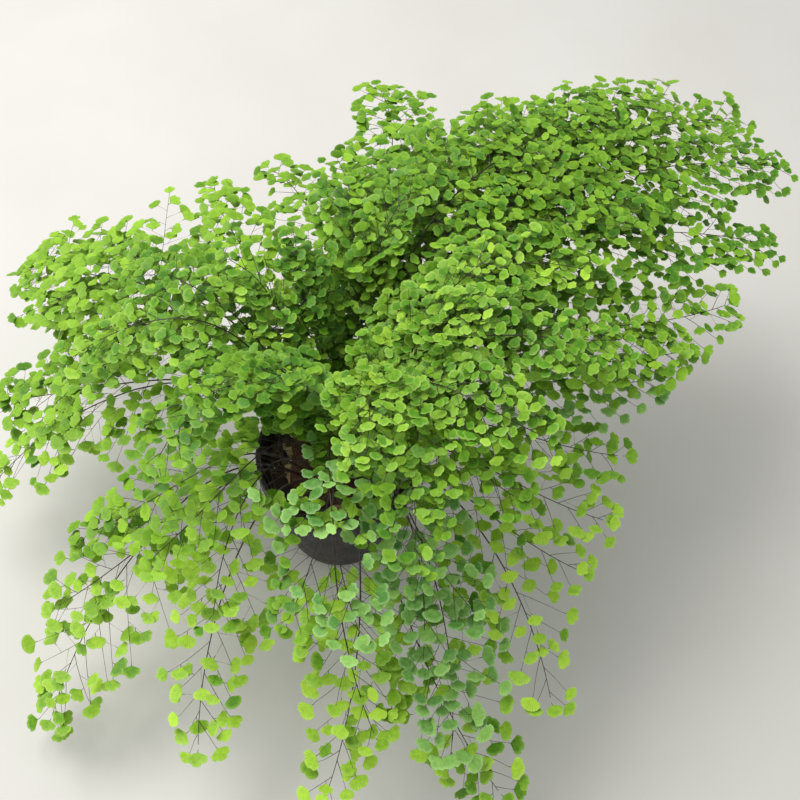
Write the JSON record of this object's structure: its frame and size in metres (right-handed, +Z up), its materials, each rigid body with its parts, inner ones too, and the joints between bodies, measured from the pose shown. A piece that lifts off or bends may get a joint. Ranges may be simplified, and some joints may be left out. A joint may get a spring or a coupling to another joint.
{
  "type": "potted maidenhair fern",
  "caption": "Maidenhair fern with arching, finely divided fronds of fan-shaped leaflets, growing in a plain dark plastic nursery pot.",
  "frame": {"origin": "centre of the pot's underside, on the surface the pot stands on", "axes": "+Z up; +X to the right and +Y away from the viewer in the view of the plant from its low side; the longest fronds lean towards +X and +Y"},
  "size_m": [0.56, 0.5016, 0.3024],
  "materials": {
    "pot_plastic": "satin",
    "potting_mix": "matte",
    "rhizome": "matte",
    "young_frond": "satin",
    "mature_frond": "satin",
    "old_frond": "satin"
  },
  "bodies": {
    "root": {"pot": "pot_plastic", "potting_mix": "potting_mix", "rhizome": "rhizome", "frond_01": "young_frond", "frond_02": "young_frond", "frond_03": "young_frond", "frond_04": "young_frond", "frond_05": "young_frond", "frond_06": "young_frond", "frond_07": "young_frond", "frond_08": "old_frond", "frond_09": "young_frond", "frond_10": "mature_frond", "frond_11": "young_frond", "frond_12": "mature_frond", "frond_13": "mature_frond", "frond_14": "old_frond", "frond_15": "young_frond", "frond_16": "mature_frond", "frond_17": "young_frond", "frond_18": "mature_frond", "frond_19": "mature_frond", "frond_20": "mature_frond", "frond_21": "old_frond", "frond_22": "mature_frond", "frond_23": "old_frond", "frond_24": "mature_frond", "frond_25": "mature_frond", "frond_26": "mature_frond", "frond_27": "mature_frond", "frond_28": "mature_frond", "frond_29": "mature_frond", "frond_30": "mature_frond", "frond_31": "young_frond", "frond_32": "mature_frond", "frond_33": "old_frond", "frond_34": "mature_frond", "frond_35": "mature_frond", "frond_36": "mature_frond", "frond_37": "mature_frond", "frond_38": "mature_frond", "frond_39": "mature_frond", "frond_40": "young_frond", "frond_41": "young_frond", "frond_42": "mature_frond", "frond_43": "young_frond", "frond_44": "mature_frond", "frond_45": "young_frond", "frond_46": "mature_frond", "frond_47": "young_frond", "frond_48": "young_frond", "frond_49": "mature_frond", "frond_50": "young_frond", "frond_51": "mature_frond"}
  },
  "joints": []
}
